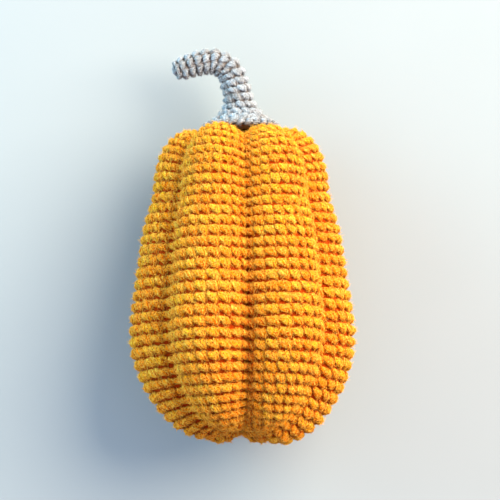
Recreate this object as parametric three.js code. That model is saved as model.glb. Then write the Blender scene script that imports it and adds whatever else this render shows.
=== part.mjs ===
// A stuffed toy pumpkin, crocheted in rounds from orange yarn, with a grey crocheted stem.
// It lies on its side on two of its six ribs, with a groove facing up. Units are millimetres.
// Each piece is first worked out standing, with its axis along +Z, and is then laid down so
// that the stem points to +Y and curls towards -X.
import * as THREE from 'three';

// Driving dimensions of the body
const RIBS = 6;
const STITCHES_PER_RIB = 10;
const BODY_ROWS = 39;
const ROW_STRETCH = 0.17; // the rows at the wide end are this share taller than the middle ones
const ROW_RELIEF = 1.4; // how far the row ridges stand over the gaps between rows
const RIB_ROUNDNESS = 0.39; // a rib's section is an arc of this share of the body's radius
const DRAW_BOTTOM = 1.2; // how hard the grooves are drawn in at the bottom,
const DRAW_WIDE = 1.2; // where the body is widest,
const DRAW_TOP = 0.92; // and at the stem end
const WIDE_HEIGHT = 46; // where the body is widest
const CLEFT_RIB = 4; // the groove after this rib faces up and is a deep cleft at the wide end,
const CLEFT_DRAW = 0.4; // drawn in harder by this share
const CLEFT_FULL = 25; // up to this height,
const CLEFT_END = 80; // and no harder than the others from this height on
const GATHER_RADIUS = 16; // inside it the grooves fade out towards the gathered middle
const SPINE_MIDDLE = 68; // the grooves are drawn towards the axis about this height
const SPINE_HALF = 55; // and no further than this from it
const COVER_WALL = 4.0; // crocheted fabric, from the ridges to its inner face
const FIT_GAP = 1.2; // between a cover and its stuffing

// The crest of a rib from the drawn-in bottom, over the wide end, to the opening at the top,
// as distance from the axis and height
const CREST = [
  [0, 6.5], [9.5, 2.1], [19, 0.4], [30.2, 5.6], [38.9, 14.6], [46.6, 28.2], [50.5, 44.5],
  [49.7, 60], [47.2, 78], [44.6, 95.5], [40.5, 110], [39.2, 121.5], [36, 132], [30.2, 139.3],
  [22.5, 142], [14.5, 139.9], [7.5, 135],
];

// How much fuller each rib is stuffed than the crest says, at the wide end and at the stem end,
// counted round from the rib on the right; the last two face up
const FULLER = [[2, 0.5], [0, 0], [0, 0], [-0.6, -0.4], [-3.2, 0.4], [-3, -0.4]];

// Driving dimensions of the stem
const STEM_STITCHES = 8;
const STEM_ROWS = 17;
const STEM_RELIEF = 0.9;
const STEM_WALL = 2.2;
const STEM_FOOT = 138; // height of the point that its distances are counted from

// The stem's middle line: distance to the side and height
const STEM_LINE = [
  [0.3, 138], [0.2, 146], [-0.3, 153], [-1.8, 161], [-4.9, 168.4], [-11.5, 172],
  [-20, 171.2], [-30.8, 167.4],
];

// The stem's outline, from the rim of the skirt to the tip: distance from the middle line,
// and distance along it from the foot, the last four counted back from its end
const SKIRT_OUTLINE = [[16.8, 5.8], [13.2, 7.9], [9.8, 10.8], [7.4, 14.8], [6.7, 20], [6.6, 27]];
const TIP_OUTLINE = [[5.8, 15], [5.4, 5.5], [4, 1.4], [0, 0]];

// How it lies
const LIE_TILT = THREE.MathUtils.degToRad(7); // the stem end is lower than the wide end
const SINK = 2.3; // how deep the ribs would reach below the floor if they stayed round

// Colours of the yarns and the filling
const ORANGE_YARN = 0xf4a62a;
const GREY_YARN = 0xc3ccd4;
const FIBREFILL = 0xf3f1ea;

const SIDE = new THREE.Vector3(0, 1, 0);
const RIB_TURN = (2 * Math.PI) / RIBS;
const RIB_CENTRE = 1 - RIB_ROUNDNESS; // where the arc of a rib is centred
// the arc of a rib ends where it meets the next rib, half a turn of one rib away
const RIB_ARC = RIB_TURN / 2 + Math.asin((RIB_CENTRE * Math.sin(RIB_TURN / 2)) / RIB_ROUNDNESS);
const GROOVE_REACH = Math.hypot(
  RIB_CENTRE + RIB_ROUNDNESS * Math.cos(RIB_ARC), RIB_ROUNDNESS * Math.sin(RIB_ARC));

// A closed skin made of rings of points, from one pole to another
class Skin {
  constructor() {
    this.places = [];
    this.faces = [];
  }

  point(place) {
    this.places.push(place.x, place.y, place.z);
    return this.places.length / 3 - 1;
  }

  // shares are the places of the ring's points round the ring, from 0 up to 1
  ring(shares, placeAt) {
    return { shares, points: shares.map((share) => this.point(placeAt(share))) };
  }

  pole(place) {
    return { shares: [0], points: [this.point(place)] };
  }

  // Joins two rings with a band of triangles, also where they have unlike numbers of points.
  // Where their points face each other, fromFirst says which way the squares are split: two
  // skins that are built in opposite directions and lie close together need opposite ways.
  join(from, to, fromFirst) {
    const lastOf = (ring, i) => i + 1 >= ring.shares.length;
    const nextShare = (ring, i) => (lastOf(ring, i) ? 1 + ring.shares[0] : ring.shares[i + 1]);
    const sidesOf = (ring) => (ring.points.length > 1 ? ring.points.length : 0);
    const at = (ring, i) => ring.points[i % ring.points.length];
    let i = 0;
    let j = 0;
    while (i < sidesOf(from) || j < sidesOf(to)) {
      const fromDone = i >= sidesOf(from);
      const toDone = j >= sidesOf(to);
      const lead = toDone ? Infinity : nextShare(to, j) - nextShare(from, i);
      if (!fromDone && (fromFirst ? lead >= 0 : lead > 0)) {
        this.faces.push(at(from, i), at(from, i + 1), at(to, j));
        i += 1;
      } else {
        this.faces.push(at(from, i), at(to, j + 1), at(to, j));
        j += 1;
      }
    }
  }

  joinAll(rings, fromFirst) {
    rings.slice(1).forEach((ring, i) => this.join(rings[i], ring, fromFirst));
  }

  mesh(name, colour) {
    const geometry = new THREE.BufferGeometry();
    geometry.setAttribute('position', new THREE.Float32BufferAttribute(this.places, 3));
    geometry.setIndex(this.faces);
    geometry.computeVertexNormals();
    const material = new THREE.MeshStandardMaterial({ color: colour, roughness: 0.95, metalness: 0 });
    const mesh = new THREE.Mesh(geometry, material);
    mesh.name = name;
    return mesh;
  }
}

// A smooth outline in the plane of radius (x) and height (y)
function outline(points) {
  const places = points.map(([radius, height]) => new THREE.Vector3(radius, height, 0));
  const curve = new THREE.CatmullRomCurve3(places, false, 'catmullrom', 0.5);
  curve.arcLengthDivisions = 600;
  return curve;
}

// The place on an outline at a share of its length, and the direction that leaves it square
function outlineAt(curve, share) {
  const place = curve.getPointAt(share);
  const along = curve.getTangentAt(share);
  return { radius: place.x, height: place.y, outX: along.y, outY: -along.x };
}

// Shares of a round with a point every few stitches; offset moves them by a share of that step
function roundShares(count, offset) {
  return Array.from({ length: count }, (_, k) => (k + offset) / count);
}

// Where a share of a round lies on the section of the ribs: its rib, its place across the rib
// from -1 to 1, its turn round the axis, and its distance from the axis as a share of the
// crest's. A round begins and ends in a groove, and its stitches are evenly spread over the arc
// of each rib.
function onRibs(share) {
  const rib = Math.floor(share * RIBS);
  const side = 2 * (share * RIBS - rib) - 1;
  const arc = RIB_ARC * side;
  const x = RIB_CENTRE + RIB_ROUNDNESS * Math.cos(arc);
  const y = RIB_ROUNDNESS * Math.sin(arc);
  return { rib, side, turn: rib * RIB_TURN + Math.atan2(y, x), reach: Math.hypot(x, y) };
}

const crest = outline(CREST);
const bodyHeight = Math.max(...CREST.map(([, height]) => height));

// How hard the grooves are drawn in at a height
function drawnIn(height) {
  const below = THREE.MathUtils.smoothstep(height, 0, WIDE_HEIGHT);
  const above = THREE.MathUtils.clamp((height - WIDE_HEIGHT) / (bodyHeight - WIDE_HEIGHT), 0, 1);
  return THREE.MathUtils.lerp(DRAW_BOTTOM, DRAW_WIDE, below) - above * (DRAW_WIDE - DRAW_TOP);
}

// How much harder the cleft is drawn in than the other grooves, fading out over its two ribs
function cleft(height, rib, side) {
  const before = rib === CLEFT_RIB ? (1 + side) / 2 : 0;
  const after = rib === CLEFT_RIB + 1 ? (1 - side) / 2 : 0;
  const fading = 1 - THREE.MathUtils.smoothstep(height, CLEFT_FULL, CLEFT_END);
  return 1 + CLEFT_DRAW * fading * (before + after) ** 2;
}

// A place on the body: share of the crest's length, share of the round, depth under the ridges.
// A groove is drawn from the crest towards a point of the axis, which stays short of both ends,
// so that the grooves also run over the ends into the gathered middles.
function bodyPlace(along, share, depth) {
  const { radius, height, outX, outY } = outlineAt(crest, along);
  const { rib, side, turn, reach } = onRibs(share);
  const level = height / bodyHeight;
  const spine = SPINE_MIDDLE + SPINE_HALF * Math.tanh((height - SPINE_MIDDLE) / SPINE_HALF);
  const pull = drawnIn(height) * cleft(height, rib, side);
  const gathered = Math.min(radius / GATHER_RADIUS, 1);
  const keep = 1 - pull * gathered * (1 - reach);
  const fuller = FULLER[rib][0] * (1 - level) ** 4 + FULLER[rib][1] * level ** 2;
  const outward = fuller * gathered * ((reach - GROOVE_REACH) / (1 - GROOVE_REACH)) - depth;
  const fromAxis = keep * radius + outward * outX;
  const up = spine + keep * (height - spine) + outward * outY;
  return new THREE.Vector3(fromAxis * Math.cos(turn), fromAxis * Math.sin(turn), up);
}

// The edge between two rounds of stitches as a share of the crest's length
function rowEdge(row) {
  const share = row / BODY_ROWS;
  return share * (1 + ROW_STRETCH * (1 - share));
}

// The lying pose: the standing part turned down onto its side, with the floor under its ribs
const layDown = new THREE.Matrix4().makeRotationX(-Math.PI / 2 - LIE_TILT);

function lowestRidge() {
  let lowest = Infinity;
  for (let row = 0; row < BODY_ROWS; row += 1) {
    const along = (rowEdge(row) + rowEdge(row + 1)) / 2;
    for (const share of roundShares(RIBS * STITCHES_PER_RIB, 0.5)) {
      lowest = Math.min(lowest, bodyPlace(along, share, 0).applyMatrix4(layDown).z);
    }
  }
  return lowest;
}

const floorLift = -lowestRidge() - SINK;

function laid(place) {
  const lying = place.clone().applyMatrix4(layDown);
  lying.z += floorLift;
  return lying;
}

// A place on the face of the cover, pressed flat where the floor meets it
function onFace(along, share, depth) {
  const lying = laid(bodyPlace(along, share, depth));
  lying.z = Math.max(lying.z, 0);
  return lying;
}

// A place under the face, which the floor has lifted as far as the ridge outside it
function underFace(along, share, depth) {
  const ridge = laid(bodyPlace(along, share, 0));
  const lying = laid(bodyPlace(along, share, depth));
  lying.z += Math.max(-ridge.z, 0);
  return lying;
}

// A coarser ring under the fabric, of the cover's inner face or of the stuffing
const INNER_STEPS = 22;
const INNER_POINTS = 6 * RIBS;

function innerRing(skin, step, depth) {
  const shares = roundShares(INNER_POINTS, 0);
  return skin.ring(shares, (share) => underFace(step / INNER_STEPS, share, depth));
}

function innerPole(skin, depth) {
  const height = CREST[0][1] + depth;
  return skin.pole(laid(new THREE.Vector3(0, 0, height)));
}

// The crocheted cover: every round is a ridge with a point on each stitch, and the gap under
// it has its points between the stitches, so that each stitch stands out
function bodyCover() {
  const skin = new Skin();
  const count = RIBS * STITCHES_PER_RIB;
  const outer = [skin.pole(laid(new THREE.Vector3(0, 0, CREST[0][1])))];
  for (let row = 0; row < BODY_ROWS; row += 1) {
    const middle = (rowEdge(row) + rowEdge(row + 1)) / 2;
    if (row > 0) {
      outer.push(skin.ring(roundShares(count, 0.5), (share) => onFace(middle, share, 0)));
    }
    const edge = rowEdge(row + 1);
    outer.push(skin.ring(roundShares(count, 0), (share) => onFace(edge, share, ROW_RELIEF)));
  }
  const inner = [];
  for (let step = INNER_STEPS; step > 0; step -= 1) {
    inner.push(innerRing(skin, step, COVER_WALL));
  }
  skin.joinAll([...outer, ...inner, innerPole(skin, COVER_WALL)], true);
  return skin.mesh('body_cover', ORANGE_YARN);
}

function bodyStuffing() {
  const skin = new Skin();
  const depth = COVER_WALL + FIT_GAP;
  const rings = [innerPole(skin, depth)];
  for (let step = 1; step <= INNER_STEPS; step += 1) {
    rings.push(innerRing(skin, step, depth));
  }
  const top = CREST[CREST.length - 1][1] - depth;
  rings.push(skin.pole(laid(new THREE.Vector3(0, 0, top))));
  skin.joinAll(rings, false);
  return skin.mesh('body_stuffing', FIBREFILL);
}

const stemLine = new THREE.CatmullRomCurve3(
  STEM_LINE.map(([side, height]) => new THREE.Vector3(side, 0, height)), false, 'catmullrom', 0.5);
const stemLength = stemLine.getLength();
const stemOutline = outline([
  ...SKIRT_OUTLINE,
  ...TIP_OUTLINE.map(([radius, back]) => [radius, stemLength - back]),
]);

// A place on the stem: share of the outline's length, share of the round, depth under its face
function stemPlace(along, share, depth) {
  const { radius, height, outX, outY } = outlineAt(stemOutline, along);
  const distance = (height - depth * outY) / stemLength;
  const fromLine = Math.max(radius - depth * outX, 0);
  const place = stemLine.getPointAt(THREE.MathUtils.clamp(distance, 0, 1));
  const along3 = stemLine.getTangentAt(THREE.MathUtils.clamp(distance, 0, 1));
  const across = new THREE.Vector3().crossVectors(SIDE, along3).normalize();
  const turn = 2 * Math.PI * share;
  place.addScaledVector(across, fromLine * Math.cos(turn));
  return place.addScaledVector(SIDE, fromLine * Math.sin(turn));
}

const STEM_INNER_STEPS = 15;

// A coarser ring under the stem's fabric
function stemInnerRing(skin, step, depth) {
  const along = step / STEM_INNER_STEPS;
  return skin.ring(roundShares(STEM_STITCHES, 0), (share) => laid(stemPlace(along, share, depth)));
}

// The stem is worked like the body, with two points to a stitch so that it stays round
function stemCover() {
  const skin = new Skin();
  const inner = [skin.pole(laid(stemPlace(1, 0, STEM_WALL)))];
  for (let step = STEM_INNER_STEPS - 1; step >= 0; step -= 1) {
    inner.push(stemInnerRing(skin, step, STEM_WALL));
  }
  const shares = roundShares(2 * STEM_STITCHES, 0);
  const outer = [skin.ring(shares, (share) => laid(stemPlace(0, share, 0)))];
  for (let row = 0; row < STEM_ROWS; row += 1) {
    const middle = (row + 0.5) / STEM_ROWS;
    const edge = (row + 1) / STEM_ROWS;
    outer.push(skin.ring(shares, (share) => laid(stemPlace(middle, share, 0))));
    if (row + 1 < STEM_ROWS) {
      outer.push(skin.ring(shares, (share) => laid(stemPlace(edge, share, STEM_RELIEF))));
    }
  }
  skin.joinAll([...inner, ...outer, skin.pole(laid(stemPlace(1, 0, 0)))], true);
  return skin.mesh('stem_cover', GREY_YARN);
}

function stemStuffing() {
  const skin = new Skin();
  const depth = STEM_WALL + FIT_GAP;
  const rings = [skin.pole(laid(new THREE.Vector3(0, 0, STEM_FOOT + 4)))];
  for (let step = 1; step < STEM_INNER_STEPS; step += 1) {
    rings.push(stemInnerRing(skin, step, depth));
  }
  rings.push(skin.pole(laid(stemPlace(1, 0, depth))));
  skin.joinAll(rings, false);
  return skin.mesh('stem_stuffing', FIBREFILL);
}

const pumpkin = new THREE.Group();
pumpkin.add(bodyCover(), bodyStuffing(), stemCover(), stemStuffing());

// The origin is on the floor under the middle of the part
const box = new THREE.Box3().setFromObject(pumpkin);
const middle = box.getCenter(new THREE.Vector3());
pumpkin.position.set(-middle.x, -middle.y, -box.min.z);
pumpkin.updateMatrixWorld(true);

export default pumpkin;
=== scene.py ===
"""A stuffed toy pumpkin, crocheted in orange yarn with a grey stem, lying on its side.

The covers are built from real crochet stitches, which follow the same ribs, rounds and bend
as the solids of the frame. Sizes are millimetres here and become metres in the meshes.
"""

import logging
import math
from collections.abc import Callable
from dataclasses import dataclass, field
from enum import Enum
from functools import partial

import bpy
import numpy as np
from bpy.types import ID, Material, Mesh, Node, NodeOutputs, NodeSocket, NodeTree, Object
from mathutils import Matrix, Vector


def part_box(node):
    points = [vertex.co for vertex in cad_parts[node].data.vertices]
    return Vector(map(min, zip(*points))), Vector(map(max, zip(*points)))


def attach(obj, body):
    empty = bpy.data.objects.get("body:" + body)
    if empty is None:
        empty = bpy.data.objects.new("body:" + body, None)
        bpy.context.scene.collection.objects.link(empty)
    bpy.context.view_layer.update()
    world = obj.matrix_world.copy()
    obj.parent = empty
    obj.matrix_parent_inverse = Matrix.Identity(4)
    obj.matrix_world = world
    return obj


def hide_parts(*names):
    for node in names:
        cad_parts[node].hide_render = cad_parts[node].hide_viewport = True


logging.basicConfig(level=logging.INFO, format="%(message)s")
log = logging.getLogger("pumpkin")

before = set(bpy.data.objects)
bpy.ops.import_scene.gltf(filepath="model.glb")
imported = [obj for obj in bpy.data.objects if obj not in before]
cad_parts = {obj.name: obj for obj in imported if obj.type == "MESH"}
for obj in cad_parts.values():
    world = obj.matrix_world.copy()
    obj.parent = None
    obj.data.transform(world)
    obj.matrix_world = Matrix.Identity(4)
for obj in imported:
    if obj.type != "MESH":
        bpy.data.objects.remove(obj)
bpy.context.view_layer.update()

MM = 0.001
FULL_TURN = 2 * math.pi


def colour(code: str) -> tuple[float, float, float, float]:
    """Turns an sRGB hex colour into linear red, green, blue and alpha.

    Args:
        code: Six hex digits, such as "f4a62a".

    Returns:
        The linear colour with an alpha of 1.
    """
    parts = [int(code[i : i + 2], 16) / 255 for i in (0, 2, 4)]
    linear = [p / 12.92 if p <= 0.04045 else ((p + 0.055) / 1.055) ** 2.4 for p in parts]
    return (linear[0], linear[1], linear[2], 1.0)


def add_node(
    tree: NodeTree,
    kind: str,
    inputs: dict[str | int, object] | None = None,
    settings: dict[str, object] | None = None,
) -> Node:
    """Adds a node to a tree and fills or links its inputs.

    Args:
        tree: The node tree.
        kind: The node's type name.
        inputs: For each input, by name or number, its value, the socket that it is linked
            from, or the node whose first output it is linked from.
        settings: Options of the node itself.

    Returns:
        The new node.
    """
    node = tree.nodes.new(kind)
    for key, value in (settings or {}).items():
        setattr(node, key, value)
    for key, value in (inputs or {}).items():
        if isinstance(value, Node):
            value = value.outputs[0]
        if isinstance(value, NodeSocket):
            tree.links.new(value, node.inputs[key])
        else:
            node.inputs[key].default_value = value
    return node


# Settings that several nodes share
ADDED = {"operation": "ADD"}
MULTIPLIED = {"operation": "MULTIPLY"}
SCALED = {"operation": "SCALE"}
VECTORS = {"data_type": "FLOAT_VECTOR"}
COLOURS = {"data_type": "RGBA"}


def linked(name: str, data: ID) -> Object:
    """Makes an object and links it to the scene.

    Args:
        name: The object's name.
        data: Its mesh, light or camera.

    Returns:
        The object.
    """
    made = bpy.data.objects.new(name, data)
    bpy.context.scene.collection.objects.link(made)
    return made


def unit(vectors: np.ndarray) -> np.ndarray:
    """Scales each row of an array of vectors to length 1."""
    return vectors / np.maximum(np.linalg.norm(vectors, axis=-1, keepdims=True), 1e-9)


class Bend:
    """A smooth curve through given points, read by shares of its length."""

    STEPS = 200

    def __init__(self, points: list[tuple[float, ...]]) -> None:
        """Lays the curve through the points.

        Args:
            points: The points that it passes, in two or three dimensions.
        """
        given = np.array(points, float)
        before = 2 * given[:1] - given[1:2]
        after = 2 * given[-1:] - given[-2:-1]
        padded = np.vstack([before, given, after])
        part = np.linspace(0, 1, self.STEPS, endpoint=False)[:, None]
        runs = []
        for i in range(len(given) - 1):
            p0, p1, p2, p3 = padded[i : i + 4]
            leave = 0.5 * (p2 - p0)
            arrive = 0.5 * (p3 - p1)
            square = -3 * p1 + 3 * p2 - 2 * leave - arrive
            cube = 2 * p1 - 2 * p2 + leave + arrive
            runs.append(p1 + leave * part + square * part**2 + cube * part**3)
        self.places = np.vstack([*runs, given[-1:]])
        lengths = np.linalg.norm(np.diff(self.places, axis=0), axis=1)
        self.travelled = np.concatenate([[0.0], np.cumsum(lengths)])
        self.length = float(self.travelled[-1])
        self.directions = unit(np.gradient(self.places, self.travelled, axis=0))

    def at(self, share: np.ndarray) -> tuple[np.ndarray, np.ndarray]:
        """Reads the curve.

        Args:
            share: Shares of its length, from 0 to 1.

        Returns:
            The places and the unit directions there.
        """
        distance = np.clip(share, 0, 1) * self.length
        place, along = (
            np.stack([np.interp(distance, self.travelled, column) for column in table.T], -1)
            for table in (self.places, self.directions)
        )
        return place, unit(along)


@dataclass
class RibbedBody:
    """The form of the body, standing, from the drawn-in bottom up to the opening.

    The crest is the outline down the middle of a rib, as radius and height. Each rib's
    section is a round arc, and the draws say how far the grooves between them are pulled in.
    """

    ribs: int = 6
    stitches_per_rib: int = 10
    rows: int = 39
    row_stretch: float = 0.17
    row_relief: float = 1.4
    rib_roundness: float = 0.39
    draw_wide: float = 1.2
    draw_top: float = 0.92
    cleft_rib: int = 4
    cleft_draw: float = 0.4
    cleft_low: float = 25.0
    cleft_high: float = 80.0
    wide_height: float = 46.0
    gather_radius: float = 16.0
    spine_middle: float = 68.0
    spine_half: float = 55.0
    crest_points: tuple[tuple[float, float], ...] = (
        (0, 6.5), (9.5, 2.1), (19, 0.4), (30.2, 5.6), (38.9, 14.6), (46.6, 28.2), (50.5, 44.5),
        (49.7, 60), (47.2, 78), (44.6, 95.5), (40.5, 110), (39.2, 121.5), (36, 132),
        (30.2, 139.3), (22.5, 142), (14.5, 139.9), (7.5, 135),
    )
    # how many millimetres fuller than the rest each rib is at its bottom and at its top
    fuller: tuple[tuple[float, float], ...] = (
        (2, 0.5), (0, 0), (0, 0), (-0.6, -0.4), (-3.2, 0.4), (-3, -0.4),
    )

    def __post_init__(self) -> None:
        """Works out the crest's curve and where the arcs of two ribs meet."""
        self.crest = Bend(list(self.crest_points))
        self.height = max(height for _, height in self.crest_points)
        self.rib_turn = FULL_TURN / self.ribs
        self.rib_centre = 1 - self.rib_roundness
        meeting = self.rib_centre * math.sin(self.rib_turn / 2) / self.rib_roundness
        self.rib_arc = self.rib_turn / 2 + math.asin(meeting)
        self.groove_reach = math.hypot(
            self.rib_centre + self.rib_roundness * math.cos(self.rib_arc),
            self.rib_roundness * math.sin(self.rib_arc),
        )

    def row_edge(self, row: np.ndarray | float) -> np.ndarray | float:
        """Gives the lower edge of a round as a share of the crest's length."""
        share = row / self.rows
        return share * (1 + self.row_stretch * (1 - share))

    def drawn_in(self, height: np.ndarray) -> np.ndarray:
        """Gives how hard the grooves are drawn in at a height."""
        above = np.clip((height - self.wide_height) / (self.height - self.wide_height), 0, 1)
        return self.draw_wide - above * (self.draw_wide - self.draw_top)

    def cleft(self, height: np.ndarray, rib: np.ndarray, side: np.ndarray) -> np.ndarray:
        """Gives how much harder the groove that faces up is drawn in near the wide end.

        Args:
            height: Heights on the crest.
            rib: Numbers of ribs.
            side: Places across the ribs, from -1 to 1.

        Returns:
            Factors of 1 or more.
        """
        before = np.where(rib == self.cleft_rib, (1 + side) / 2, 0.0)
        after = np.where(rib == self.cleft_rib + 1, (1 - side) / 2, 0.0)
        ramp = np.clip((height - self.cleft_low) / (self.cleft_high - self.cleft_low), 0, 1)
        fading = 1 - ramp * ramp * (3 - 2 * ramp)
        return 1 + self.cleft_draw * fading * (before + after) ** 2

    def place(self, along: np.ndarray, share: np.ndarray, depth: np.ndarray | float) -> np.ndarray:
        """Finds places on the body or under its face.

        Args:
            along: Shares of the crest's length.
            share: Shares of the round, which starts in a groove.
            depth: Distances under the ridges.

        Returns:
            The places, standing, in millimetres.
        """
        point, tangent = self.crest.at(along)
        radius, height = point[..., 0], point[..., 1]
        out_x, out_y = tangent[..., 1], -tangent[..., 0]
        turned = np.mod(share, 1) * self.ribs
        rib = np.minimum(np.floor(turned).astype(int), self.ribs - 1)
        side = 2 * (turned - rib) - 1
        arc = self.rib_arc * side
        x = self.rib_centre + self.rib_roundness * np.cos(arc)
        y = self.rib_roundness * np.sin(arc)
        turn = rib * self.rib_turn + np.arctan2(y, x)
        reach = np.hypot(x, y)
        level = height / self.height
        from_middle = (height - self.spine_middle) / self.spine_half
        spine = self.spine_middle + self.spine_half * np.tanh(from_middle)
        gathered = np.minimum(radius / self.gather_radius, 1)
        pull = self.drawn_in(height) * self.cleft(height, rib, side)
        keep = 1 - pull * gathered * (1 - reach)
        stuffed = np.array(self.fuller)[rib]
        fuller = stuffed[..., 0] * (1 - level) ** 4 + stuffed[..., 1] * level**2
        crown = (reach - self.groove_reach) / (1 - self.groove_reach)
        outward = fuller * gathered * crown - depth
        from_axis = keep * radius + outward * out_x
        up = spine + keep * (height - spine) + outward * out_y
        return np.stack([from_axis * np.cos(turn), from_axis * np.sin(turn), up], -1)


@dataclass
class BentStem:
    """The form of the stem, standing, from the rim of its skirt to its tip."""

    rows: int = 17
    line_points: tuple[tuple[float, float], ...] = (
        (0.3, 138), (0.2, 146), (-0.3, 153), (-1.8, 161), (-4.9, 168.4), (-11.5, 172),
        (-20, 171.2), (-30.8, 167.4),
    )
    skirt: tuple[tuple[float, float], ...] = (
        (16.8, 5.8), (13.2, 7.9), (9.8, 10.8), (7.4, 14.8), (6.7, 20), (6.6, 27),
    )
    tip: tuple[tuple[float, float], ...] = ((5.8, 15), (5.4, 5.5), (4, 1.4), (0, 0))

    def __post_init__(self) -> None:
        """Works out the curves of the middle line and of the outline."""
        self.line = Bend([(side, 0.0, height) for side, height in self.line_points])
        end = [(radius, self.line.length - back) for radius, back in self.tip]
        self.outline = Bend([*self.skirt, *end])

    def place(self, along: np.ndarray, share: np.ndarray, depth: np.ndarray | float) -> np.ndarray:
        """Finds places on the stem or under its face.

        Args:
            along: Shares of the outline's length.
            share: Shares of the round.
            depth: Distances under the face.

        Returns:
            The places, standing, in millimetres.
        """
        point, tangent = self.outline.at(along)
        out_x, out_y = tangent[..., 1], -tangent[..., 0]
        distance = (point[..., 1] - depth * out_y) / self.line.length
        from_line = np.maximum(point[..., 0] - depth * out_x, 0)[..., None]
        middle, forward = self.line.at(distance)
        side = np.array([0.0, 1.0, 0.0])
        across = unit(np.cross(np.broadcast_to(side, forward.shape), forward))
        turn = (FULL_TURN * share)[..., None]
        return middle + across * from_line * np.cos(turn) + side * from_line * np.sin(turn)


@dataclass
class Lying:
    """How the standing forms are turned down onto the floor and moved into the frame."""

    body: RibbedBody
    tilt: float = math.radians(7)
    sink: float = 2.3

    def __post_init__(self) -> None:
        """Finds the floor under the ribs, and the move that puts the body where its solid is."""
        angle = -math.pi / 2 - self.tilt
        self.turn = np.array(Matrix.Rotation(angle, 3, "X"))
        self.move = np.zeros(3)
        count = self.body.ribs * self.body.stitches_per_rib
        edges = self.body.row_edge(np.arange(self.body.rows + 1))
        middles = (edges[:-1] + edges[1:]) / 2
        rows, shares = np.meshgrid(middles, (np.arange(count) + 0.5) / count, indexing="ij")
        ridges = self.body.place(rows, shares, 0.0)
        self.move[2] = -self.lay(ridges)[..., 2].min() - self.sink
        rows, shares = np.meshgrid(edges[1:], np.arange(count) / count, indexing="ij")
        gaps = self.body.place(rows, shares, self.body.row_relief)
        pole = np.array([[0.0, 0.0, self.body.crest_points[0][1]]])
        skin = self.lay(np.vstack([ridges[1:].reshape(-1, 3), gaps.reshape(-1, 3), pole]))
        skin[:, 2] = np.maximum(skin[:, 2], 0)
        low, high = (np.array(corner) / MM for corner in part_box("body_cover"))
        misfit = np.abs((skin.max(0) - skin.min(0)) - (high - low)).max()
        log.info("form and frame differ by %.3f mm in size", misfit)
        self.move += low - skin.min(0)

    def lay(self, places: np.ndarray) -> np.ndarray:
        """Turns standing places down and moves them into the frame."""
        return places @ self.turn.T + self.move

    def press(self, places: np.ndarray, ridges: np.ndarray) -> np.ndarray:
        """Lifts laid places as far as the floor lifts the ridges outside them.

        Args:
            places: Laid places under the face.
            ridges: The places on the face over them, before the floor presses it.

        Returns:
            The places, lifted.
        """
        lifted = places.copy()
        lifted[..., 2] += np.maximum(-ridges[..., 2], 0)
        return lifted


@dataclass
class Places:
    """Where the copies of a stitch go, how large they are and how deep in tone, partly by painted
    shade.
    """

    centre: list[np.ndarray] = field(default_factory=list)
    facing: list[tuple[float, ...]] = field(default_factory=list)
    size: list[tuple[float, float, float]] = field(default_factory=list)
    deeper: list[float] = field(default_factory=list)

    def add(
        self,
        centre: np.ndarray,
        across: np.ndarray,
        up: np.ndarray,
        thickness: float,
        deeper: float = 0.0,
        quarter: bool = False,
    ) -> None:
        """Adds one copy.

        Args:
            centre: Its centre in millimetres.
            across: The whole width of the stitch, as a vector.
            up: The whole height of the stitch, as a vector.
            thickness: Its thickness in millimetres.
            deeper: How much deeper in colour painted shade makes its yarn than chance does, from 0
                to 1.
            quarter: Whether the shape is turned a quarter to lie along the round.
        """
        out = unit(np.cross(across, up))
        high = unit(up)
        wide = np.cross(high, out)
        width, height = float(np.linalg.norm(across)), float(np.linalg.norm(up))
        if quarter:
            wide, high = -high, wide
            width, height = height, width
        turn = Matrix(np.stack([wide, high, out], 1).tolist())
        self.centre.append(centre * MM)
        self.facing.append(tuple(turn.to_quaternion()))
        self.size.append((width * MM, height * MM, thickness * MM))
        self.deeper.append(deeper)

    def mesh(self, name: str, rng: np.random.Generator) -> Mesh:
        """Makes a mesh of loose points with the facing, size and tone as attributes.

        Args:
            name: The mesh's name.
            rng: Where the chance in the tones comes from.

        Returns:
            The mesh.
        """
        mesh = bpy.data.meshes.new(name)
        mesh.from_pydata([tuple(c) for c in self.centre], [], [])
        facing = mesh.attributes.new("facing", "QUATERNION", "POINT")
        facing.data.foreach_set("value", np.array(self.facing, np.float32).ravel())
        size = mesh.attributes.new("size", "FLOAT_VECTOR", "POINT")
        size.data.foreach_set("vector", np.array(self.size, np.float32).ravel())
        tone = mesh.attributes.new("tone", "FLOAT", "POINT")
        tones = np.clip(rng.random(len(self.deeper)) + np.array(self.deeper), 0, 1)
        tone.data.foreach_set("value", tones.astype(np.float32))
        return mesh


def smooth_object(
    name: str,
    places: np.ndarray,
    faces: list[tuple[int, ...]],
    strand: np.ndarray | None = None,
    proud: np.ndarray | None = None,
) -> Object:
    """Makes a smooth mesh object at the origin.

    Args:
        name: The object's name.
        places: The points.
        faces: The faces, as numbers of points.
        strand: For each corner, how far along the strand and how far round it.
        proud: For each point, from 0 in the gaps to 1 on the tops.

    Returns:
        The object, linked to the scene.
    """
    mesh = bpy.data.meshes.new(name)
    mesh.from_pydata(places.tolist(), [], faces)
    mesh.polygons.foreach_set("use_smooth", [True] * len(mesh.polygons))
    if strand is not None:
        layer = mesh.uv_layers.new(name="strand")
        layer.data.foreach_set("uv", strand.astype(np.float32).ravel())
    if proud is not None:
        tops = mesh.attributes.new("proud", "FLOAT", "POINT")
        tops.data.foreach_set("value", proud.astype(np.float32))
    mesh.update()
    return linked(name, mesh)


# Where a stitch counts as deep in a gap and as its top, as shares of its thickness
DEEP_LEVEL = -0.22
TOP_LEVEL = 0.34
# Sections along each leg of a stitch, and points round each section
STITCH_RINGS = 7
STITCH_SIDES = 6
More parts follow.
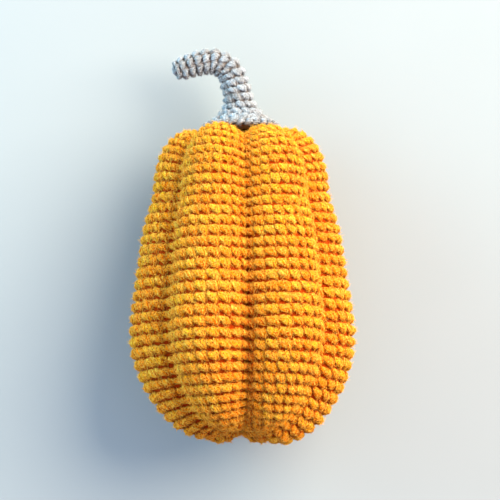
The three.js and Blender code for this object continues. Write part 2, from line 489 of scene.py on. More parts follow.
# A loose fibre's radius at its root, how deep the root sits and where the tip ends, as
# shares of its length. Real fibres are far thinner, and these are drawn so that they show.
FIBRE_THICKNESS = 0.065
FIBRE_SINK = 0.05
FIBRE_TIP = (1.0, 0.08, 0.20)


@dataclass(frozen=True)
class Strand:
    """A stretch of yarn inside a stitch: points of its middle line, with the yarn's radius."""

    points: tuple[tuple[float, float, float, float], ...]

    def tube(
        self, rings: int, sides: int
    ) -> tuple[np.ndarray, list[tuple[int, ...]], list[tuple[float, float]]]:
        """Sweeps a round section along the middle line, with closed ends.

        Args:
            rings: How many sections.
            sides: How many points to a section.

        Returns:
            The points, the faces, and for each corner its place along and round the strand.
        """
        bend = Bend(list(self.points))
        centre, along = bend.at(np.linspace(0, 1, rings))
        radius = centre[:, 3]
        forward = unit(along[:, :3])
        across = unit(np.cross(forward, np.array([0.0, 0.0, 1.0])))
        over = np.cross(across, forward)
        turns = (FULL_TURN * np.arange(sides) / sides)[None, :, None]
        ring = across[:, None] * np.cos(turns) + over[:, None] * np.sin(turns)
        places = (centre[:, None, :3] + ring * radius[:, None, None]).reshape(-1, 3)
        faces: list[tuple[int, ...]] = []
        corners: list[tuple[float, float]] = []
        for i in range(rings - 1):
            for j in range(sides):
                k = (j + 1) % sides
                here, there = i * sides, (i + 1) * sides
                faces.append((here + j, here + k, there + k, there + j))
                low, high = i / (rings - 1), (i + 1) / (rings - 1)
                start, stop = j / sides, (j + 1) / sides
                corners += [(low, start), (low, stop), (high, stop), (high, start)]
        faces.append(tuple(range(sides - 1, -1, -1)))
        corners += [(0.0, j / sides) for j in range(sides - 1, -1, -1)]
        last = (rings - 1) * sides
        faces.append(tuple(last + j for j in range(sides)))
        corners += [(1.0, j / sides) for j in range(sides)]
        return places, faces, corners


def strand_shape(name: str, strands: tuple[Strand, ...], rings: int, sides: int) -> Object:
    """Makes one shape to be repeated from a few strands of yarn.

    Args:
        name: The object's name.
        strands: The stretches of yarn.
        rings: Sections along each stretch.
        sides: Points round each section.

    Returns:
        The object, with its normals pointing out.
    """
    places, faces, corners = [], [], []
    start = 0
    for strand in strands:
        own_places, own_faces, own_corners = strand.tube(rings, sides)
        places.append(own_places)
        faces += [tuple(start + i for i in face) for face in own_faces]
        corners += own_corners
        start += len(own_places)
    shape = np.vstack(places)
    proud = np.clip((shape[:, 2] - DEEP_LEVEL) / (TOP_LEVEL - DEEP_LEVEL), 0, 1)
    return smooth_object(name, shape, faces, np.array(corners), proud)


# A single crochet stitch, as shares of its width, height and thickness. Both legs of its V
# lean to the right on their way down, as in rounds that are worked without turning.
LEFT_LEG = Strand((
    (-0.54, 0.42, -0.42, 0.17),
    (-0.41, 0.26, -0.05, 0.26),
    (-0.17, 0.13, 0.17, 0.35),
    (0.10, -0.01, 0.17, 0.33),
    (0.30, -0.19, -0.04, 0.26),
    (0.38, -0.55, -0.42, 0.19),
))
RIGHT_LEG = Strand((
    (0.02, 0.52, -0.40, 0.18),
    (0.14, 0.32, -0.07, 0.23),
    (0.30, 0.17, 0.03, 0.27),
    (0.46, 0.00, -0.03, 0.24),
    (0.54, -0.20, -0.22, 0.19),
    (0.56, -0.55, -0.46, 0.17),
))


def fibre_shape(name: str) -> Object:
    """Makes a loose fibre to be repeated: a spike that rises a little from where it is rooted.

    Args:
        name: The object's name.

    Returns:
        The object, one unit long.
    """
    turns = FULL_TURN * np.arange(3) / 3
    side, height = FIBRE_THICKNESS * np.cos(turns), FIBRE_THICKNESS * np.sin(turns)
    root = np.stack([np.zeros(3), side, height - FIBRE_SINK], -1)
    faces = [(0, 1, 3), (1, 2, 3), (2, 0, 3), (2, 1, 0)]
    return smooth_object(name, np.vstack([root, [FIBRE_TIP]]), faces)


def opened_tree(
    name: str, inputs: dict[str, tuple[str, float | int | None]]
) -> tuple[NodeTree, Callable[..., Node], NodeOutputs]:
    """Starts a Geometry Nodes tree that gives one geometry.

    Args:
        name: The tree's name.
        inputs: For each named input, the kind of its socket and its value, if it has one.

    Returns:
        The tree, the function that adds a node to it, and the sockets of its inputs.
    """
    tree = bpy.data.node_groups.new(name, "GeometryNodeTree")
    tree.interface.new_socket("Geometry", in_out="OUTPUT", socket_type="NodeSocketGeometry")
    for label, (kind, value) in inputs.items():
        socket = tree.interface.new_socket(label, in_out="INPUT", socket_type="NodeSocket" + kind)
        if value is not None:
            socket.default_value = value
    node = partial(add_node, tree)
    return tree, node, node("NodeGroupInput").outputs


def close_tree(
    node: Callable[..., Node], made: Node, floor_level: NodeSocket, material: NodeSocket
) -> None:
    """Ends a tree: keeps what it made above the floor and gives it its material.

    Args:
        node: The function that adds a node to the tree.
        made: The node that gives what the tree made.
        floor_level: The lowest height that a point may have.
        material: The material.
    """
    position = node("GeometryNodeInputPosition")
    parts = node("ShaderNodeSeparateXYZ", {0: position}).outputs
    highest = {"operation": "MAXIMUM"}
    above = node("ShaderNodeMath", {0: parts[2], 1: floor_level}, highest)
    kept = node("ShaderNodeCombineXYZ", {0: parts[0], 1: parts[1], 2: above})
    pressed = node("GeometryNodeSetPosition", {"Geometry": made, "Position": kept})
    dressed = node("GeometryNodeSetMaterial", {"Geometry": pressed, "Material": material})
    node("NodeGroupOutput", {"Geometry": dressed})


@dataclass(frozen=True)
class StitchTree:
    """A Geometry Nodes tree that works a shape onto points and presses it onto the floor.

    Each copy leans and swells a little at random, and a slow wobble bends the rows.
    """

    lean: float = math.radians(8)
    unevenness: float = 0.09
    wobble: float = 0.35 * MM
    wobble_size: float = 5.0 * MM
    floor_level: float = 0.05 * MM
    seed: int = 11

    def build(self) -> NodeTree:
        """Builds the tree.

        Returns:
            A tree with inputs for the shape, the yarn and the sizes above.
        """
        tree, node, given = opened_tree("work_stitches", {
            "Points": ("Geometry", None),
            "Shape": ("Object", None),
            "Yarn": ("Material", None),
            "Lean": ("Float", self.lean),
            "Unevenness": ("Float", self.unevenness),
            "Wobble": ("Float", self.wobble),
            "Wobble size": ("Float", self.wobble_size),
            "Floor level": ("Float", self.floor_level),
            "Seed": ("Int", self.seed),
        })
        shape = node("GeometryNodeObjectInfo", {"Object": given["Shape"]})
        facing, size = (
            node("GeometryNodeInputNamedAttribute", {"Name": name}, {"data_type": kind})
            for name, kind in (("facing", "QUATERNION"), ("size", "FLOAT_VECTOR"))
        )
        next_seed = node("ShaderNodeMath", {0: given["Seed"], 1: 1.0}, ADDED)
        lean, swelling = (
            node(
                "FunctionNodeRandomValue",
                {0: (-1.0, -1.0, -1.0), 1: (1.0, 1.0, 1.0), "Seed": seed},
                VECTORS,
            )
            for seed in (given["Seed"], next_seed)
        )
        leaning = node("ShaderNodeVectorMath", {0: lean, "Scale": given["Lean"]}, SCALED)
        by = node("FunctionNodeEulerToRotation", {0: leaning})
        turned = node(
            "FunctionNodeRotateRotation", {"Rotation": facing, "Rotate By": by},
            {"rotation_space": "LOCAL"},
        )
        uneven = node("ShaderNodeVectorMath", {0: swelling, "Scale": given["Unevenness"]}, SCALED)
        factor = node("ShaderNodeVectorMath", {0: uneven, 1: (1.0, 1.0, 1.0)}, ADDED)
        scaled = node("ShaderNodeVectorMath", {0: size, 1: factor}, MULTIPLIED)
        copies = node(
            "GeometryNodeInstanceOnPoints",
            {
                "Points": given["Points"],
                "Instance": shape.outputs["Geometry"],
                "Rotation": turned,
                "Scale": scaled,
            },
        )
        real = node("GeometryNodeRealizeInstances", {"Geometry": copies})
        position = node("GeometryNodeInputPosition")
        step = node("ShaderNodeMath", {0: 1.0, 1: given["Wobble size"]}, {"operation": "DIVIDE"})
        noise = node("ShaderNodeTexNoise", {"Vector": position, "Scale": step, "Detail": 1.0})
        centred = node(
            "ShaderNodeVectorMath", {0: noise.outputs["Color"], 1: (0.5, 0.5, 0.5)},
            {"operation": "SUBTRACT"},
        )
        offset = node("ShaderNodeVectorMath", {0: centred, "Scale": given["Wobble"]}, SCALED)
        wobbled = node("GeometryNodeSetPosition", {"Geometry": real, "Offset": offset})
        close_tree(node, wobbled, given["Floor level"], given["Yarn"])
        return tree


@dataclass(frozen=True)
class FibreTree:
    """A Geometry Nodes tree that lets loose fibres stand out of worked yarn.

    The density is fibres to a square metre, the swing is how far a fibre leans, and the
    shortest and longest are shares of the length.
    """

    density: float = 2.2e6
    length: float = 2.0 * MM
    swing: float = 0.7
    shortest: float = 0.45
    longest: float = 1.35
    floor_level: float = 0.1 * MM
    seed: int = 5

    def build(self) -> NodeTree:
        """Builds the tree.

        Returns:
            A tree with inputs for the fibre, its material and the sizes above.
        """
        tree, node, given = opened_tree("loosen_fibres", {
            "Worked yarn": ("Geometry", None),
            "Fibre": ("Object", None),
            "Material": ("Material", None),
            "Density": ("Float", self.density),
            "Length": ("Float", self.length),
            "Floor level": ("Float", self.floor_level),
            "Seed": ("Int", self.seed),
        })
        fibre = node("GeometryNodeObjectInfo", {"Object": given["Fibre"]})
        # the fibres stand out of the tops of the stitches, where the yarn is open
        proud = node("GeometryNodeInputNamedAttribute", {"Name": "proud"}, {"data_type": "FLOAT"})
        open_share = node("ShaderNodeMath", {0: proud, 1: proud}, MULTIPLIED)
        thick = node("ShaderNodeMath", {0: open_share, 1: given["Density"]}, MULTIPLIED)
        roots = node(
            "GeometryNodeDistributePointsOnFaces",
            {"Mesh": given["Worked yarn"], "Density": thick, "Seed": given["Seed"]},
        )
        least, most = (-self.swing, -self.swing, 0.0), (self.swing, self.swing, FULL_TURN)
        spin = node("FunctionNodeRandomValue", {0: least, 1: most, "Seed": given["Seed"]}, VECTORS)
        by = node("FunctionNodeEulerToRotation", {0: spin})
        turned = node(
            "FunctionNodeRotateRotation", {"Rotation": roots.outputs["Rotation"], "Rotate By": by},
            {"rotation_space": "LOCAL"},
        )
        next_seed = node("ShaderNodeMath", {0: given["Seed"], 1: 1.0}, ADDED)
        share = node(
            "FunctionNodeRandomValue", {2: self.shortest, 3: self.longest, "Seed": next_seed},
            {"data_type": "FLOAT"},
        )
        length = node("ShaderNodeMath", {0: share.outputs[1], 1: given["Length"]}, MULTIPLIED)
        copies = node(
            "GeometryNodeInstanceOnPoints",
            {
                "Points": roots,
                "Instance": fibre.outputs["Geometry"],
                "Rotation": turned,
                "Scale": length,
            },
        )
        real = node("GeometryNodeRealizeInstances", {"Geometry": copies})
        close_tree(node, real, given["Floor level"], given["Material"])
        return tree


def grown(name: str, start: Mesh, tree: NodeTree, given: dict[str, object]) -> Object:
    """Runs a Geometry Nodes tree on a mesh and keeps the result as a plain mesh.

    Args:
        name: The new object's name.
        start: The mesh that the tree starts from.
        tree: The tree.
        given: Values for the tree's inputs, by name.

    Returns:
        The plain object, linked to the scene, without a modifier.
    """
    holder = linked(name + "_start", start)
    modifier = holder.modifiers.new("tree", "NODES")
    modifier.node_group = tree
    for item in tree.interface.items_tree:
        if item.in_out == "INPUT" and item.name in given:
            modifier[item.identifier] = given[item.name]
    bpy.context.view_layer.update()
    graph = bpy.context.evaluated_depsgraph_get()
    mesh = bpy.data.meshes.new_from_object(holder.evaluated_get(graph), depsgraph=graph)
    mesh.name = name
    mesh.polygons.foreach_set("use_smooth", [True] * len(mesh.polygons))
    bpy.data.objects.remove(holder)
    return linked(name, mesh)


def opened_material(name: str) -> tuple[Material, Callable[..., Node]]:
    """Makes a material with an empty tree.

    Args:
        name: The material's name.

    Returns:
        The material, and the function that adds a node to its tree.
    """
    made = bpy.data.materials.new(name)
    made.use_nodes = True
    made.node_tree.nodes.clear()
    return made, partial(add_node, made.node_tree)


@dataclass(frozen=True)
class YarnFinish:
    """Worsted acrylic yarn, spun from two plies and then crocheted.

    The twist shows as slanting creases along each strand, with painted shade in them. The cut
    fibres give it a soft matt face with pale streaks, partly painted highlight, and dark flecks
    of painted shade, and the dye is a little uneven. The gaps get painted shade too. A range is
    the part of a pattern over which its colour comes in. The glow is the light that goes on in
    the yarn, and the reach is how far its red, green and blue get, in millimetres.
    """

    name: str
    light: str
    # the deep colour takes the tone, which is chance and dye plus the painted shade of the stitch
    # places
    deep: str
    # painted shade in the creases between the plies
    painted_crease_shade: str
    # painted shade in the gaps between the stitches, and on the ground under them
    gap: str
    # pale streaks: heathered fibres and, in part, painted highlight; also the sheen's tint
    bloom_and_highlight: str
    # dark flecks of painted shade between the fibres
    painted_fibre_shade: str
    # the strengths of the pale streaks, partly painted highlight, and of the dark flecks of painted
    # shade
    heather: float
    shade: float
    glow: float
    reach: tuple[float, float, float]
    ply_turns: float = 1.2
    crease_share: float = 0.26
    # how fine the streaks are along a strand and round it, and how far a tone shifts them
    streaks: tuple[float, float, float] = (3.5, 9.0, 40.0)
    tuft_scale: float = 1400.0
    dye_scale: float = 170.0
    tone_range: tuple[float, float] = (0.35, 1.65)
    open_range: tuple[float, float] = (0.12, 0.88)
    streak_range: tuple[float, float] = (0.50, 0.68)
    fleck_range: tuple[float, float] = (0.50, 0.38)
    fuzz_relief: float = 2.2
    relief_height: float = 0.8 * MM
    roughness: float = 0.95
    gloss: float = 0.05
    sheen: float = 0.08

    def material(self) -> Material:
        """Makes the yarn's material.

        Returns:
            The material, which reads the strand, tone and proud of the worked yarn.
        """
        made, node = opened_material(self.name)
        strand, tone, proud = (
            node("ShaderNodeAttribute", settings={"attribute_name": name}).outputs
            for name in ("strand", "tone", "proud")
        )
        place = node("ShaderNodeTexCoord").outputs["Object"]
        ends = node("ShaderNodeSeparateXYZ", {0: strand["Vector"]}).outputs
        # two plies wind round each other, so the crease between them climbs as it goes along
        climb = node(
            "ShaderNodeMath", {0: ends[0], 1: self.ply_turns, 2: ends[1]},
            {"operation": "MULTIPLY_ADD"},
        )
        wave = node("ShaderNodeMath", {0: climb, 1: FULL_TURN}, MULTIPLIED)
        swing = node("ShaderNodeMath", {0: wave}, {"operation": "SINE"})
        ply = node("ShaderNodeMath", {0: swing}, {"operation": "ABSOLUTE"})
        # the fibres lie along the strand, and the tone shifts their pattern from stitch to
        # stitch; real ones are 0.02 mm thick, and their streaks are drawn about 1 mm wide,
        # with finer ones in them, so that they show
        lie = node("ShaderNodeCombineXYZ", {0: ends[0], 1: climb, 2: tone["Fac"]})
        spread = node("ShaderNodeVectorMath", {0: lie, 1: self.streaks}, MULTIPLIED)
        streaks = node(
            "ShaderNodeTexNoise",
            {"Vector": spread, "Scale": 1.0, "Detail": 3.0, "Roughness": 0.65, "Distortion": 0.6},
        )
        # tufts of fibres about 0.7 mm apart, drawn coarser than the real 0.02 mm so they show
        fibres = node(
            "ShaderNodeTexNoise",
            {"Vector": place, "Scale": self.tuft_scale, "Detail": 3.0, "Roughness": 0.7},
        )
        # the dye takes unevenly over patches of about 6 mm
        dye = node("ShaderNodeTexNoise", {"Vector": place, "Scale": self.dye_scale, "Detail": 2.0})
        # the tone adds chance, dye and the painted shade of the stitch places
        mixed_tone = node("ShaderNodeMath", {0: tone["Fac"], 1: dye}, ADDED)
        low, high = self.tone_range
        uneven = node(
            "ShaderNodeMapRange", {"Value": mixed_tone, "From Min": low, "From Max": high}
        )
        face = node(
            "ShaderNodeMix", {0: uneven, 6: colour(self.light), 7: colour(self.deep)}, COLOURS
        )
        # painted shade: the gaps between the stitches get the darker gap colour, the open tops
        # their own
        low, high = self.open_range
        open_share = node(
            "ShaderNodeMapRange", {"Value": proud["Fac"], "From Min": low, "From Max": high},
            {"interpolation_type": "SMOOTHSTEP"},
        )
        mixed = node(
            "ShaderNodeMix", {0: open_share, 6: colour(self.gap), 7: face.outputs[2]}, COLOURS
        )
        # the painted shade of the creases, the pale streaks, partly painted highlight, and the dark
        # flecks of painted shade come over it, in this order
        for source, (low, high), first, last, over in (
            (ply, (0.0, self.crease_share), 1.0, 0.0, self.painted_crease_shade),
            (streaks, self.streak_range, 0.0, self.heather, self.bloom_and_highlight),
            (fibres, self.fleck_range, 0.0, self.shade, self.painted_fibre_shade),
        ):
            limits = {"From Min": low, "From Max": high, "To Min": first, "To Max": last}
            share = node("ShaderNodeMapRange", {"Value": source, **limits})
            mixed = node("ShaderNodeMix", {0: share, 6: mixed.outputs[2], 7: colour(over)}, COLOURS)
        rough = node("ShaderNodeMath", {0: fibres, 1: streaks}, ADDED)
        relief = node(
            "ShaderNodeMath", {0: rough, 1: self.fuzz_relief, 2: ply}, {"operation": "MULTIPLY_ADD"}
        )
        bump = node(
            "ShaderNodeBump", {"Strength": 1.0, "Distance": self.relief_height, "Height": relief}
        )
        shader = node(
            "ShaderNodeBsdfPrincipled",
            {
                "Base Color": mixed.outputs[2],
                "Roughness": self.roughness,
                "Specular IOR Level": self.gloss,
                "Subsurface Weight": self.glow,
                "Subsurface Radius": self.reach,
                "Subsurface Scale": MM,
                "Sheen Weight": self.sheen,
                "Sheen Roughness": 0.5,
                "Sheen Tint": colour(self.bloom_and_highlight),
                "Normal": bump,
            },
        )
        node("ShaderNodeOutputMaterial", {"Surface": shader})
        return made


@dataclass(frozen=True)
class PlainFinish:
    """A matt material with a soft, uneven tone: loose fibres, polyester filling or paper.

    The grain is the length over which its tone changes.
    """

    name: str
    light: str
    deep: str
    grain: float
    roughness: float
    relief: float
    gloss: float = 0.2

    def material(self) -> Material:
        """Makes the material.

        Returns:
            The material.
        """
        made, node = opened_material(self.name)
        place = node("ShaderNodeTexCoord").outputs["Object"]
        noise = node(
            "ShaderNodeTexNoise", {"Vector": place, "Scale": 1 / self.grain, "Detail": 3.0}
        )
        tone = node(
            "ShaderNodeMix", {0: noise, 6: colour(self.light), 7: colour(self.deep)}, COLOURS
        )
        bump = node("ShaderNodeBump", {"Strength": 0.5, "Distance": self.relief, "Height": noise})
        shader = node(
            "ShaderNodeBsdfPrincipled",
            {
                "Base Color": tone.outputs[2],
                "Roughness": self.roughness,
                "Specular IOR Level": self.gloss,
                "Normal": bump,
            },
        )
        node("ShaderNodeOutputMaterial", {"Surface": shader})
        return made


# Dyed acrylic, spun and crocheted: golden on the tops, with burnt orange painted shade in creases
# and gaps
ORANGE_YARN = YarnFinish(
    name="orange_acrylic_yarn",
    light="ffc624",
    deep="ff8402",
    painted_crease_shade="b83800",
    gap="ac3200",
    bloom_and_highlight="ffe262",
    painted_fibre_shade="a83000",
    heather=0.85,
    shade=0.95,
    glow=0.12,
    reach=(2.0, 0.8, 0.15),
)
# Heathered acrylic, spun and crocheted: pale and cool, with painted shade in a warmer tone in the
# gaps
GREY_YARN = YarnFinish(
    name="grey_heather_acrylic_yarn",
    light="c0cfde",
    deep="85807c",
    painted_crease_shade="7c7474",
    gap="74604e",
    bloom_and_highlight="e4eaf2",
    painted_fibre_shade="7a7474",
    heather=0.8,
    shade=0.8,
    glow=0.15,
    reach=(0.8, 0.8, 0.8),
)
# Cut fibre ends that stand loose: fine hairs, which soften the outline of each stitch
ORANGE_FIBRE = PlainFinish("orange_loose_fibre", "ffd450", "e06c04", 0.8 * MM, 0.9, 0.0)
GREY_FIBRE = PlainFinish("grey_loose_fibre", "dde4ec", "948f8c", 0.8 * MM, 0.9, 0.0)
# Carded polyester, packed in tufts of about 4 mm: soft and white, without gloss
FIBREFILL = PlainFinish("polyester_fibrefill", "f6f4ee", "dedcd4", 4 * MM, 0.9, 1.0 * MM)
# Uncoated paper, pressed flat: even and without gloss, with faint clouds of about 60 mm
PAPER = PlainFinish("matt_white_paper", "949b9e", "91989b", 60 * MM, 0.85, 0.0)


class Slot(Enum):
    """The record's material slots of the two yarns, which the covers here don't refer to."""

    ORANGE = "orange_yarn"
    GREY = "grey_yarn"


# Rings of the fabric ground to each round of stitches
RINGS_PER_ROUND = 3


def valley(rounds: float) -> float:
    """Gives how far the ground dips at a number of rounds: 1 between two and 0 in the middle."""
    return 0.5 + 0.5 * math.cos(FULL_TURN * rounds)


def closed_skin(name: str, rings: list[np.ndarray], first: np.ndarray, last: np.ndarray) -> Object:
    """Joins rings of points into one closed skin with a pole at each end.

    Args:
        name: The object's name.
        rings: The rings, in metres, each with the same number of points.
        first: The pole before the first ring.
        last: The pole after the last ring.

    Returns:
        The object.
    """
    count = len(rings[0])
    places = np.vstack([first[None], *rings, last[None]])
    around = [(j, (j + 1) % count) for j in range(count)]
    faces: list[tuple[int, ...]] = [(0, 1 + k, 1 + j) for j, k in around]
    for low in range(1, 1 + (len(rings) - 1) * count, count):
        high = low + count
        faces += [(low + j, low + k, high + k, high + j) for j, k in around]
    top = 1 + (len(rings) - 1) * count
    faces += [(top + j, top + k, len(places) - 1) for j, k in around]
    return smooth_object(name, places, faces)


@dataclass
class BodyCover:
    """The crocheted cover of the body: stitches, the fabric between them and loose fibres.

    The groove gap is how far inside a groove the outer stitches end, as a share of a stitch.
    """

    form: RibbedBody
    lying: Lying
    stitch_depth: float = 1.85
    ground_depth: float = 1.7
    ground_relief: float = 0.5
    ground_points: int = 24
    arc_points: int = 25
    plumpness: float = 0.78
    thinnest: float = 2.5
    thickest: float = 5.6
    groove_gap: float = 0.02
    wide_end_width: float = 5.4
    stem_end_width: float = 4.1
    groove_painted_shade: float = 0.8
    wide_end_painted_shade: float = 0.45
    seed: int = 3
    stitch_seed: int = 11
    fibre_seed: int = 50

    def face(self, along: np.ndarray, share: np.ndarray, depth: np.ndarray | float) -> np.ndarray:
        """Finds laid places under the ridges, in millimetres."""
        ridges = self.lying.lay(self.form.place(along, share, 0.0))
        return self.lying.press(self.lying.lay(self.form.place(along, share, depth)), ridges)

    def rib_places(self, rib: int) -> Places:
        """Finds the place of every stitch of a rib.

        Args:
            rib: The rib's number.

        Returns:
            The places of its stitches.
        """
        places = Places()
        form = self.form
        # the rib's arc is measured from just inside one groove to just inside the next
        across_rib = (rib + np.linspace(0.001, 0.999, self.arc_points)) / form.ribs
        for row in range(form.rows):
            low, high = form.row_edge(row), form.row_edge(row + 1)
            middle = (low + high) / 2
            arc = form.place(np.full(self.arc_points, middle), across_rib, 0.0)
            length = np.linalg.norm(np.diff(arc, axis=0), axis=1).sum()
            narrowing = (self.stem_end_width - self.wide_end_width) * row / form.rows
            width = self.wide_end_width + narrowing
            count = int(np.clip(round(length / width), 1, form.stitches_per_rib))
            for k in range(count):
                left = (rib + max(k, self.groove_gap) / count) / form.ribs
                right = (rib + min(k + 1, count - self.groove_gap) / count) / form.ribs
                share = (left + right) / 2
                along = np.array([middle, middle, low, high])
                around = np.array([left, right, share, share])
                laid = self.lying.lay(form.place(along, around, self.stitch_depth))
                start, stop, bottom, top = laid
                centre = self.face(np.array([middle]), np.array([share]), self.stitch_depth)[0]
                across, up = stop - start, top - bottom
                thickness = math.sqrt(np.linalg.norm(across) * np.linalg.norm(up))
                full = float(np.clip(thickness, self.thinnest, self.thickest))
                # painted shade: stitches next to a groove get a deeper colour, and the yarn is a
                # little deeper towards the wide end
                closeness = abs(2 * (k + 0.5) / count - 1)
                to_wide_end = 1 - row / form.rows
                deeper = self.groove_painted_shade * closeness**3 + self.wide_end_painted_shade * to_wide_end
                places.add(centre, across, up, self.plumpness * full, deeper)
        return places

    def ground(self) -> Object:
        """Makes the fabric that shows between the stitches.

        Returns:
            One closed skin.
        """
        form = self.form
        count = self.ground_points * form.ribs
        shares = np.arange(count) / count
        rings = []
        for step in range(1, RINGS_PER_ROUND * form.rows + 1):
            row = step / RINGS_PER_ROUND
            depth = self.ground_depth + self.ground_relief * valley(row)
            along = np.full(count, float(form.row_edge(row)))
            rings.append(self.face(along, shares, depth) * MM)
        first = self.lying.lay(np.array([0, 0, form.crest_points[0][1] + self.ground_depth])) * MM
        last = self.lying.lay(np.array([0, 0, form.crest_points[-1][1] - self.ground_depth])) * MM
        return closed_skin("body_ground", rings, first, last)

    def build(self, stitch: Object, fibre: Object) -> list[Object]:
        """Builds the cover.

        Args:
            stitch: The stitch to repeat.
            fibre: The fibre to repeat.

        Returns:
            The ground, the stitches of each rib and the loose fibres of each rib.
        """
        rng = np.random.default_rng(self.seed)
        yarn = ORANGE_YARN.material()
        loose = ORANGE_FIBRE.material()
        stitches = StitchTree().build()
        fibres = FibreTree().build()
        ground = self.ground()
        # the ground has no proud values, so the yarn gives it the gap colour all over: painted
        # shade
        ground.data.materials.append(yarn)
        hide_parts("body_cover")
        pieces = [ground]
        for rib in range(self.form.ribs):
            points = self.rib_places(rib).mesh(f"rib_{rib}_points", rng)
            worked = grown(
                f"body_rib_{rib}_stitches", points, stitches,
                {"Shape": stitch, "Yarn": yarn, "Seed": self.stitch_seed + rib},
            )
            fluff = grown(
                f"body_rib_{rib}_fibres", worked.data.copy(), fibres,
                {"Fibre": fibre, "Material": loose, "Seed": self.fibre_seed + rib},
            )
            pieces += [worked, fluff]
        for piece in pieces:
            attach(piece, "root")
        return pieces


@dataclass
class StemCover:
    """The crocheted cover of the stem, with the skirt at its foot and the edge round it.

    The loops are those of the chain that edges the skirt. Their height is a share of the
    outline's length.
    """

    form: BentStem
    lying: Lying
    stitch_depth: float = 1.55
    ground_depth: float = 1.9
    ground_relief: float = 0.3
    ground_points: int = 48
    wall: float = 0.9
    stitch_width: float = 5.0
    fewest: int = 5
    thinnest: float = 1.5
    thickest: float = 4.0
    curl_painted_shade: float = 0.9
    loop_depth: float = 0.9
    loop_width: float = 3.6
    loop_height: float = 0.045
    loop_thickness: float = 2.6
    seed: int = 4
    stitch_seed: int = 31
    edge_seed: int = 37
    fibre_seed: int = 61

    def face(self, along: np.ndarray, share: np.ndarray, depth: float) -> np.ndarray:
        """Finds laid places under the face, in millimetres."""
        return self.lying.lay(self.form.place(along, share, depth))

    def places(self) -> Places:
        """Finds the place of every stitch of the stem.

        Returns:
            The places of its stitches.
        """
        places = Places()
        for row in range(self.form.rows):
            low, high = row / self.form.rows, (row + 1) / self.form.rows
            middle = (low + high) / 2
            radius = float(self.form.outline.at(np.array([middle]))[0][0, 0])
            count = max(self.fewest, round(FULL_TURN * radius / self.stitch_width))
            for k in range(count):
                left, share, right = k / count, (k + 0.5) / count, (k + 1) / count
                along = np.array([middle, middle, low, high, middle])
                around = np.array([left, right, share, share, share])
                start, stop, bottom, top, centre = self.face(along, around, self.stitch_depth)
                across, up = stop - start, top - bottom
                thickness = math.sqrt(np.linalg.norm(across) * np.linalg.norm(up))
                full = float(np.clip(thickness, self.thinnest, self.thickest))
                # painted shade: the side of the curl that faces the body is deeper in colour,
                # nearly taupe
                inward = max(0.0, -float(unit(np.cross(across, up))[1]))
                places.add(centre, across, up, full, self.curl_painted_shade * inward)
        return places

    def edge_places(self) -> Places:
        """Finds the place of every loop of the chain that edges the skirt.

        Returns:
            The places of its loops.
        """
        places = Places()
        count = round(FULL_TURN * self.form.skirt[0][0] / self.loop_width)
        for k in range(count):
            left, share, right = k / count, (k + 0.5) / count, (k + 1) / count
            along = np.array([0.0, 0.0, 0.0, self.loop_height, 0.0])
            around = np.array([left, right, share, share, share])
            start, stop, bottom, top, centre = self.face(along, around, self.loop_depth)
            places.add(centre, stop - start, top - bottom, self.loop_thickness, quarter=True)
        return places

    def ground(self) -> Object:
        """Makes the fabric between the stitches, with an inner face.

        Returns:
            One closed skin.
        """
        count = self.ground_points
        shares = np.arange(count) / count
        steps = RINGS_PER_ROUND * self.form.rows
        inner = self.ground_depth + self.wall
        depths = [(step, inner) for step in range(steps - 1, -1, -1)]
        for step in range(steps):
            dip = self.ground_relief * valley(step / RINGS_PER_ROUND)
            depths.append((step, self.ground_depth + dip))
        rings = [self.face(np.full(count, step / steps), shares, d) * MM for step, d in depths]
        end = np.array([1.0])
        start = np.array([0.0])
        first = self.face(end, start, inner)[0] * MM
        last = self.face(end, start, self.ground_depth)[0] * MM
        return closed_skin("stem_ground", rings, first, last)

    def build(self, stitch: Object, fibre: Object) -> list[Object]:
        """Builds the cover.

        Args:
            stitch: The stitch to repeat.
            fibre: The fibre to repeat.

        Returns:
            The ground, the stitches, the edge and the loose fibres.
        """
        rng = np.random.default_rng(self.seed)
        yarn = GREY_YARN.material()
        loose = GREY_FIBRE.material()
        stitches = StitchTree(wobble=0.25 * MM).build()
        fibres = FibreTree(length=1.6 * MM).build()
        ground = self.ground()
        # the ground has no proud values, so the yarn gives it the gap colour all over: painted
        # shade
        ground.data.materials.append(yarn)
        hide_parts("stem_cover")
        worked = grown(
            "stem_stitches", self.places().mesh("stem_points", rng), stitches,
            {"Shape": stitch, "Yarn": yarn, "Seed": self.stitch_seed},
        )
        edge = grown(
            "stem_skirt_edge", self.edge_places().mesh("edge_points", rng), stitches,
            {"Shape": stitch, "Yarn": yarn, "Seed": self.edge_seed},
        )
        fluff = grown(
            "stem_fibres", worked.data.copy(), fibres,
            {"Fibre": fibre, "Material": loose, "Seed": self.fibre_seed},
        )
        pieces = [ground, worked, edge, fluff]
        for piece in pieces:
            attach(piece, "root")
        return pieces


@dataclass
class Filling:
    """The stuffing inside both covers, which keeps its solids and gets the filling's finish."""

    nodes: tuple[str, ...] = ("body_stuffing", "stem_stuffing")

    def build(self) -> list[Object]:
        """Dresses the two stuffing solids.

        Returns:
            The solids.
        """
        finish = FIBREFILL.material()
        made = []
        for name in self.nodes:
            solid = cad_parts[name]
            solid.data.materials.clear()
            solid.data.materials.append(finish)
            made.append(solid)
        return made


@dataclass(frozen=True)
class Lamp:
    """A round soft light that points at the toy; angles are as seen from the toy."""

    name: str
    azimuth: float
    elevation: float
    distance: float
    size: float
    power: float
    colour: tuple[float, float, float]

    def build(self) -> None:
        """Makes the light."""
        data = bpy.data.lights.new(self.name, "AREA")
        data.shape = "DISK"
        data.size = self.size
        data.energy = self.power
        data.color = self.colour
        lamp = linked(self.name, data)
        azimuth, elevation = math.radians(self.azimuth), math.radians(self.elevation)
        flat, high = math.cos(elevation), math.sin(elevation)
        direction = Vector((flat * math.cos(azimuth), flat * math.sin(azimuth), high))
        lamp.location = direction * self.distance
        lamp.rotation_mode = "QUATERNION"
        lamp.rotation_quaternion = direction.to_track_quat("Z", "Y")


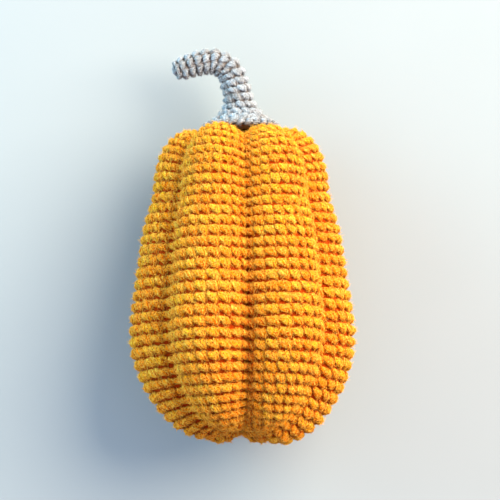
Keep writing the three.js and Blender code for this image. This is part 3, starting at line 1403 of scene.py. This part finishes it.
@dataclass
class Studio:
    """The paper floor, the light and the camera of the photograph.

    The clip is the camera's nearest and farthest distance in metres, like the floor's size.
    The pivot height, distance, view width and centre are millimetres.
    """

    floor_size: float = 3.0
    pivot_height: float = 42.0
    roll: float = math.radians(4.3)
    distance: float = 2500.0
    view_width: float = 225.0
    centre_right: float = 3.6
    centre_up: float = -1.6
    sensor: float = 36.0
    clip: tuple[float, float] = (0.05, 20.0)
    lamps: tuple[Lamp, ...] = (
        Lamp("window", 40, 37, 1.4, 1.6, 77.0, (1.0, 0.895, 0.70)),
        Lamp("shade", 155, 12, 0.9, 0.8, 17.6, (0.42, 0.85, 1.0)),
    )
    sky_colour: tuple[float, float, float] = (0.78, 0.78, 1.0)
    sky_strength: float = 1.06

    def floor(self) -> Object:
        """Makes the floor.

        Returns:
            The floor, which isn't part of the object.
        """
        half = self.floor_size / 2
        corners = np.array([[-half, -half, 0], [half, -half, 0], [half, half, 0], [-half, half, 0]])
        floor = smooth_object("floor", corners, [(0, 1, 2, 3)])
        floor.data.materials.append(PAPER.material())
        return floor

    def lights(self) -> None:
        """Makes the warm window on the right, the cool shade on the left and a pale sky."""
        for lamp in self.lamps:
            lamp.build()
        world = bpy.data.worlds.new("sky")
        world.use_nodes = True
        background = world.node_tree.nodes["Background"]
        background.inputs["Color"].default_value = (*self.sky_colour, 1.0)
        background.inputs["Strength"].default_value = self.sky_strength
        bpy.context.scene.world = world

    def camera(self) -> None:
        """Puts the camera where the photograph was taken from."""
        data = bpy.data.cameras.new("camera")
        data.sensor_width = self.sensor
        data.lens = self.sensor * self.distance / self.view_width
        data.clip_start, data.clip_end = self.clip
        camera = linked("camera", data)
        right = Vector((math.cos(self.roll), 0, math.sin(self.roll)))
        up = Vector((0, 1, 0))
        back = Vector((-math.sin(self.roll), 0, math.cos(self.roll)))
        target = Vector((0, 0, self.pivot_height)) + right * self.centre_right + up * self.centre_up
        camera.location = (target + back * self.distance) * MM
        turn = Matrix((right, up, back)).transposed()
        camera.rotation_mode = "QUATERNION"
        camera.rotation_quaternion = turn.to_quaternion()
        bpy.context.scene.camera = camera

    def build(self) -> None:
        """Sets the studio up."""
        self.floor()
        self.lights()
        self.camera()
        bpy.context.scene.view_settings.view_transform = "Standard"


def report(name: str, pieces: list[Object]) -> None:
    """Logs the triangles of each piece of a sub-assembly, and of them all.

    Args:
        name: The sub-assembly's name.
        pieces: Its pieces.
    """
    total = 0
    for piece in pieces:
        piece.data.calc_loop_triangles()
        count = len(piece.data.loop_triangles)
        total += count
        log.info("%s, %s: %d triangles", name, piece.name, count)
    log.info("%s: %d pieces, %d triangles", name, len(pieces), total)


def main() -> None:
    """Builds every sub-assembly in order."""
    body = RibbedBody()
    lying = Lying(body)
    stitch = strand_shape("stitch_shape", (LEFT_LEG, RIGHT_LEG), STITCH_RINGS, STITCH_SIDES)
    fibre = fibre_shape("fibre_shape")
    report("body cover", BodyCover(body, lying).build(stitch, fibre))
    report("stem cover", StemCover(BentStem(), lying).build(stitch, fibre))
    report("filling", Filling().build())
    for shape in (stitch, fibre):
        bpy.data.objects.remove(shape)
    Studio().build()


if __name__ == "__main__":
    main()
